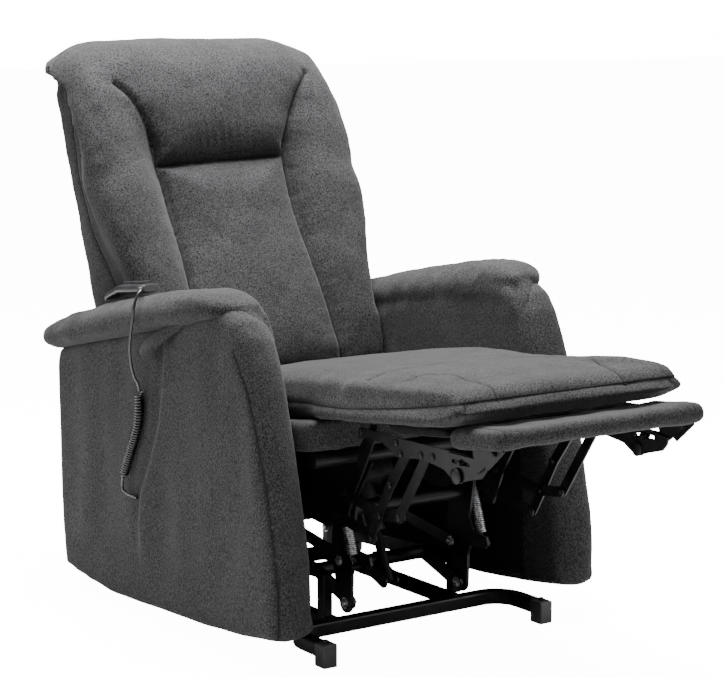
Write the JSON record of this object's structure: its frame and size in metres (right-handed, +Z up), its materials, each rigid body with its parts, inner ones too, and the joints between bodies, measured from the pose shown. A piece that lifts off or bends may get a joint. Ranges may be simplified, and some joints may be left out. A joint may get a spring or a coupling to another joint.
{
  "type": "lift recliner chair",
  "caption": "Upholstered recliner armchair on a powered steel lift base, with folding legrest, sliding footboard, reclining back and corded handset.",
  "frame": {"origin": "middle of the chair's box, on the floor", "axes": "+Z up; the chair faces -Y and +X is the sitter's left"},
  "size_m": [0.8337, 1.5484, 1.157],
  "materials": {
    "upholstery_fabric": "matte",
    "powder_coated_steel": "satin",
    "zinc_plated_steel": "satin",
    "black_plastic": "matte",
    "grey_plastic": "satin",
    "cord_jacket": "satin"
  },
  "bodies": {
    "base": {"base_front_tube": "powder_coated_steel", "base_rear_tube": "powder_coated_steel", "base_rail_left": "powder_coated_steel", "base_rail_right": "powder_coated_steel", "foot_front_left": "black_plastic", "foot_front_right": "black_plastic", "foot_rear_left": "black_plastic", "foot_rear_right": "black_plastic", "lift_post_left": "powder_coated_steel", "lift_post_right": "powder_coated_steel", "rest_stop_left": "powder_coated_steel", "rest_stop_right": "powder_coated_steel"},
    "lift_arms": {"lift_arm_left": "powder_coated_steel", "lift_arm_right": "powder_coated_steel", "lift_arm_cross_tube": "powder_coated_steel"},
    "lift_links": {"lift_link_left": "powder_coated_steel", "lift_link_right": "powder_coated_steel"},
    "chassis": {"lift_plate_left": "powder_coated_steel", "lift_plate_right": "powder_coated_steel", "side_plate_left": "powder_coated_steel", "side_plate_right": "powder_coated_steel", "front_cross_tube": "powder_coated_steel", "torque_tube": "powder_coated_steel", "rear_cross_tube": "powder_coated_steel", "return_spring_left": "zinc_plated_steel", "return_spring_right": "zinc_plated_steel", "seat_box": "upholstery_fabric", "seat_cushion": "upholstery_fabric", "side_panel_left": "upholstery_fabric", "side_panel_right": "upholstery_fabric", "arm_pad_left": "upholstery_fabric", "arm_pad_right": "upholstery_fabric", "rear_panel": "upholstery_fabric", "recline_motor": "grey_plastic", "control_box": "black_plastic", "handset_case": "grey_plastic", "handset_cord_lead": "cord_jacket", "handset_cord_curl": "cord_jacket", "handset_cord_tail": "cord_jacket"},
    "lift_motor": {"lift_motor": "grey_plastic"},
    "lift_rod": {"lift_rod": "zinc_plated_steel"},
    "recline_rod": {"recline_rod": "zinc_plated_steel"},
    "legrest": {"calf_pad": "upholstery_fabric", "legrest_board": "upholstery_fabric", "legrest_bracket_left": "powder_coated_steel", "legrest_bracket_right": "powder_coated_steel"},
    "footboard": {"footboard": "upholstery_fabric"},
    "upper_rails": {"upper_rail_left": "powder_coated_steel", "upper_rail_right": "powder_coated_steel"},
    "lower_rails": {"lower_rail_left": "powder_coated_steel", "lower_rail_right": "powder_coated_steel"},
    "inner_diagonals": {"inner_diagonal_left": "powder_coated_steel", "inner_diagonal_right": "powder_coated_steel"},
    "outer_diagonals": {"outer_diagonal_left": "powder_coated_steel", "outer_diagonal_right": "powder_coated_steel"},
    "back": {"back_frame": "upholstery_fabric", "back_cushion": "upholstery_fabric", "head_cushion": "upholstery_fabric"},
    "lift_key": {"lift_key": "black_plastic"},
    "recline_key": {"recline_key": "black_plastic"}
  },
  "joints": [
    {"name": "lift", "type": "hinge", "parent": "base", "child": "lift_arms", "pos_m": [0, 0.2922, 0.1], "axis": [-1, 0, 0], "range_deg": [0, 47]},
    {"name": "seat_tilt", "type": "hinge", "parent": "lift_arms", "child": "chassis", "pos_m": [0, -0.1838, 0.08], "axis": [1, 0, 0], "range_deg": [0, 70.6]},
    {"name": "lift_link_swing", "type": "hinge", "parent": "base", "child": "lift_links", "pos_m": [0, 0.2782, 0.225], "axis": [-1, 0, 0], "range_deg": [0, 49.3]},
    {"name": "lift_motor_swing", "type": "hinge", "parent": "chassis", "child": "lift_motor", "pos_m": [0, -0.0078, 0.34], "axis": [1, 0, 0], "range_deg": [0, 1.8]},
    {"name": "lift_rod_slide", "type": "slide", "parent": "lift_motor", "child": "lift_rod", "axis": [0, -0.4327, -0.9015], "range_m": [0, 0.0663]},
    {"name": "legrest_fold", "type": "hinge", "parent": "chassis", "child": "legrest", "pos_m": [0, -0.3348, 0.449], "axis": [-1, 0, 0], "range_deg": [-82, 0]},
    {"name": "footboard_slide", "type": "slide", "parent": "legrest", "child": "footboard", "axis": [0, -0.9921, 0.1252], "range_m": [-0.01, 0.02]},
    {"name": "upper_rail_swing", "type": "hinge", "parent": "chassis", "child": "upper_rails", "pos_m": [0, -0.2458, 0.316], "axis": [-1, 0, 0], "range_deg": [-82, 0]},
    {"name": "lower_rail_swing", "type": "hinge", "parent": "chassis", "child": "lower_rails", "pos_m": [0, -0.2173, 0.269], "axis": [-1, 0, 0], "range_deg": [-82, 0]},
    {"name": "inner_diagonal_swing", "type": "hinge", "parent": "upper_rails", "child": "inner_diagonals", "pos_m": [0, -0.3718, 0.296], "axis": [-1, 0, 0], "range_deg": [0, 82]},
    {"name": "outer_diagonal_swing", "type": "hinge", "parent": "upper_rails", "child": "outer_diagonals", "pos_m": [0, -0.4338, 0.304], "axis": [-1, 0, 0], "range_deg": [0, 82]},
    {"name": "back_recline", "type": "hinge", "parent": "chassis", "child": "back", "pos_m": [0, 0.3322, 0.43], "axis": [-1, 0, 0], "range_deg": [-12, 28]},
    {"name": "recline_rod_slide", "type": "slide", "parent": "chassis", "child": "recline_rod", "axis": [0, 1, 0], "range_m": [-0.053, 0.0228]},
    {"name": "lift_key_rock", "type": "hinge", "parent": "chassis", "child": "lift_key", "pos_m": [-0.348, 0.23127, 0.68059], "axis": [1, 0, 0], "range_deg": [-4, 4], "stiffness_Nm_per_rad": 0.3},
    {"name": "recline_key_rock", "type": "hinge", "parent": "chassis", "child": "recline_key", "pos_m": [-0.348, 0.27697, 0.67531], "axis": [1, 0, 0], "range_deg": [-4, 4], "stiffness_Nm_per_rad": 0.3}
  ],
  "couplings": [
    {"joint": "seat_tilt", "follows": "lift", "ratio": 1.5},
    {"joint": "lift_link_swing", "follows": "lift", "ratio": 1.046},
    {"joint": "lift_motor_swing", "follows": "lift", "ratio": 0.0322},
    {"joint": "lift_rod_slide", "follows": "lift", "m_per_rad": 0.0804},
    {"joint": "upper_rail_swing", "follows": "legrest_fold", "ratio": 1},
    {"joint": "lower_rail_swing", "follows": "legrest_fold", "ratio": 1},
    {"joint": "inner_diagonal_swing", "follows": "legrest_fold", "ratio": -1},
    {"joint": "outer_diagonal_swing", "follows": "legrest_fold", "ratio": -1},
    {"joint": "recline_rod_slide", "follows": "back_recline", "m_per_rad": -0.108}
  ]
}
